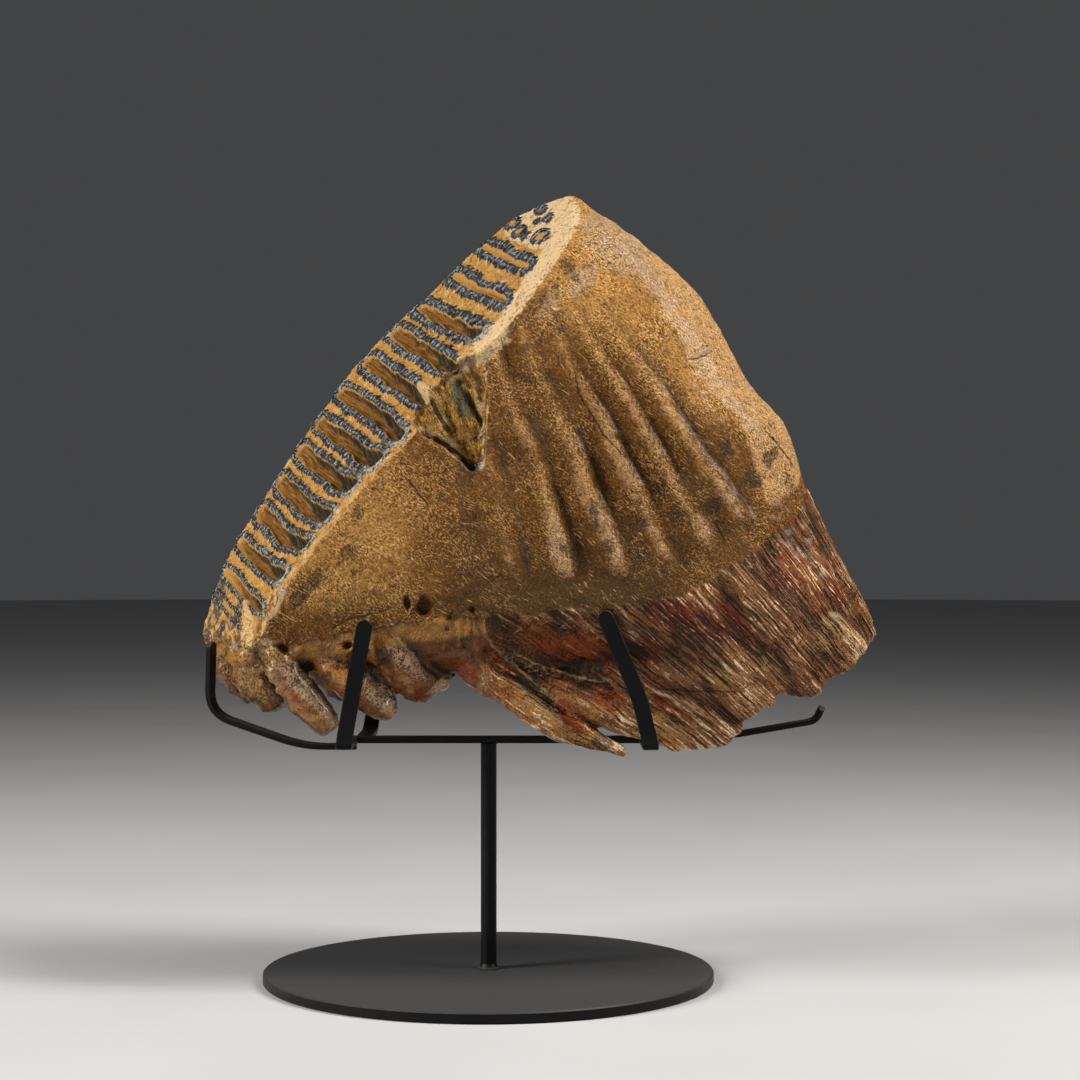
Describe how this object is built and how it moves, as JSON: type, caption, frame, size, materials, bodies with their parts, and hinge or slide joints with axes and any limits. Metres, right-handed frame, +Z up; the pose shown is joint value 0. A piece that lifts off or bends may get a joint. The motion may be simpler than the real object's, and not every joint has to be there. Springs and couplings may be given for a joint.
{
  "type": "fossil mammoth tooth on stand",
  "caption": "Fossil mammoth molar with a ridged chewing face and splayed roots, resting in a bent-strip steel cradle on a post and round base.",
  "frame": {"origin": "centre of the base disc's underside, on the surface that the stand stands on", "axes": "+Z up along the post, +X along the tooth from its worn chewing face to its hind root, +Y away from the side that is shown"},
  "size_m": [0.2646, 0.175, 0.3052],
  "materials": {
    "fossil": "satin",
    "black_steel": "satin"
  },
  "bodies": {
    "root": {"tooth": "fossil", "base_disc": "black_steel", "post": "black_steel", "cradle_spine": "black_steel", "left_end_prong": "black_steel", "right_end_arm": "black_steel", "front_left_prong": "black_steel", "front_right_prong": "black_steel", "back_left_prong": "black_steel", "back_right_prong": "black_steel"}
  },
  "joints": []
}
